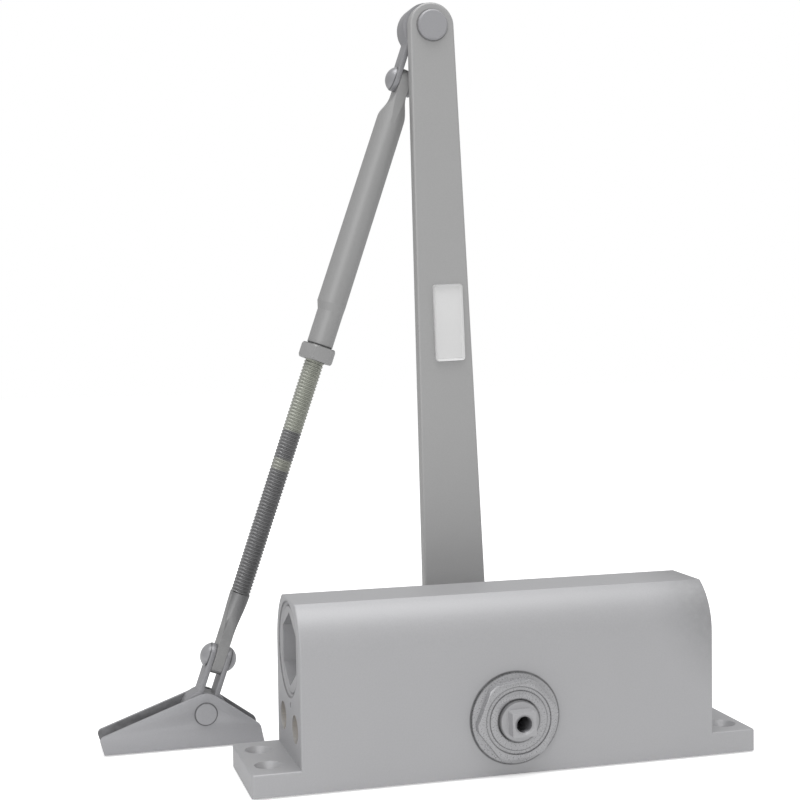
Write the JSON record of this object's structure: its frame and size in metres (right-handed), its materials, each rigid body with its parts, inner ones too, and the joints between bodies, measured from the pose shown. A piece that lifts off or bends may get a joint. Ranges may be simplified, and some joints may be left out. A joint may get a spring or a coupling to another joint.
{
  "type": "hydraulic door closer",
  "caption": "Surface-mounted rack-and-pinion door closer with a cranked main arm, an adjustable forearm and a fixing shoe.",
  "frame": {"origin": "centre of the four mounting holes on the mounting face", "axes": "+X along the cylinder towards the spring end, +Y towards the arm side, +Z away from the mounting face"},
  "size_m": [0.2246, 0.0903, 0.2734],
  "materials": {
    "housing_paint": "die casting, silver paint",
    "cap_metal": "silver paint on steel",
    "arm_paint": "silver paint on steel",
    "tube_paint": "silver paint on steel",
    "forging_paint": "silver paint on forged steel",
    "zinc_plate": "zinc plated",
    "rivet_paint": "silver paint on steel",
    "ground_steel": "hardened and ground",
    "bearing_bronze": "sintered bronze",
    "valve_brass": "turned",
    "spring_steel": "oil tempered",
    "seal_rubber": "black nitrile"
  },
  "bodies": {
    "housing": {"housing": "housing_paint", "spring_end_plug": "cap_metal", "valve_end_plug": "cap_metal", "end_plug_seals": "seal_rubber", "front_bearing_cap": "cap_metal", "rear_bearing_cap": "cap_metal", "front_bearing": "bearing_bronze", "rear_bearing": "bearing_bronze", "shaft_seals": "seal_rubber", "closing_spring": "spring_steel"},
    "spindle": {"pinion_shaft": "ground_steel", "main_arm": "arm_paint", "arm_washer": "zinc_plate", "arm_screw": "zinc_plate", "elbow_rivet": "rivet_paint", "elbow_spacer": "zinc_plate"},
    "piston": {"piston": "ground_steel", "check_valve_retainer": "ground_steel"},
    "check_ball": {"check_valve_ball": "ground_steel"},
    "closing_valve": {"closing_speed_valve": "valve_brass"},
    "latching_valve": {"latching_speed_valve": "valve_brass"},
    "elbow_knuckle": {"elbow_knuckle": "forging_paint", "elbow_tilt_rivet": "rivet_paint"},
    "forearm_tube": {"forearm_tube": "tube_paint"},
    "lock_nut": {"lock_nut": "zinc_plate"},
    "adjusting_rod": {"adjusting_rod": "zinc_plate"},
    "shoe_knuckle": {"shoe_knuckle": "forging_paint", "shoe_tilt_rivet": "rivet_paint"},
    "shoe": {"shoe_bracket": "forging_paint", "shoe_pin": "rivet_paint"}
  },
  "joints": [
    {"name": "spindle_turn", "type": "hinge", "parent": "housing", "child": "spindle", "pos_m": [0, 0, 0.0194], "axis": [0, 1, 0], "range_deg": [0, 135], "stiffness_Nm_per_rad": 4, "springref_deg": -34.38},
    {"name": "piston_slide", "type": "slide", "parent": "housing", "child": "piston", "axis": [1, 0, 0], "range_m": [0, 0.0285], "deforming": ["closing_spring"]},
    {"name": "check_ball_lift", "type": "slide", "parent": "piston", "child": "check_ball", "axis": [1, 0, 0], "range_m": [-0.0018, 0]},
    {"name": "closing_valve_turn", "type": "hinge", "parent": "housing", "child": "closing_valve", "pos_m": [-0.074, -0.01, 0.019], "axis": [-1, 0, 0], "range_deg": [-180, 540]},
    {"name": "latching_valve_turn", "type": "hinge", "parent": "housing", "child": "latching_valve", "pos_m": [-0.074, 0.01, 0.019], "axis": [-1, 0, 0], "range_deg": [-180, 540]},
    {"name": "elbow_turn", "type": "hinge", "parent": "spindle", "child": "elbow_knuckle", "pos_m": [-0.00743, 0.0529, 0.26399], "axis": [0, 1, 0], "range_deg": [-8, 158]},
    {"name": "forearm_tilt", "type": "hinge", "parent": "elbow_knuckle", "child": "forearm_tube", "pos_m": [-0.01611, 0.0529, 0.24445], "axis": [0.9448, 0, -0.3277], "range_deg": [0, 25]},
    {"name": "lock_nut_spin", "type": "hinge", "parent": "forearm_tube", "child": "lock_nut", "pos_m": [-0.05077, 0.0529, 0.14301], "axis": [0.3277, 0, 0.9448], "continuous": true},
    {"name": "rod_slide", "type": "slide", "parent": "forearm_tube", "child": "adjusting_rod", "axis": [0.3277, 0, 0.9448], "range_m": [-0.015, 0.055]},
    {"name": "shoe_tilt", "type": "hinge", "parent": "adjusting_rod", "child": "shoe_knuckle", "pos_m": [-0.09007, 0.0529, 0.03126], "axis": [0.9448, 0, -0.3277], "range_deg": [-25, 25]},
    {"name": "shoe_turn", "type": "hinge", "parent": "shoe_knuckle", "child": "shoe", "pos_m": [-0.09587, 0.0529, 0.0121], "axis": [0, 1, 0], "range_deg": [-45, 70]}
  ],
  "couplings": [
    {"joint": "piston_slide", "follows": "spindle_turn", "m_per_rad": 0.012}
  ]
}
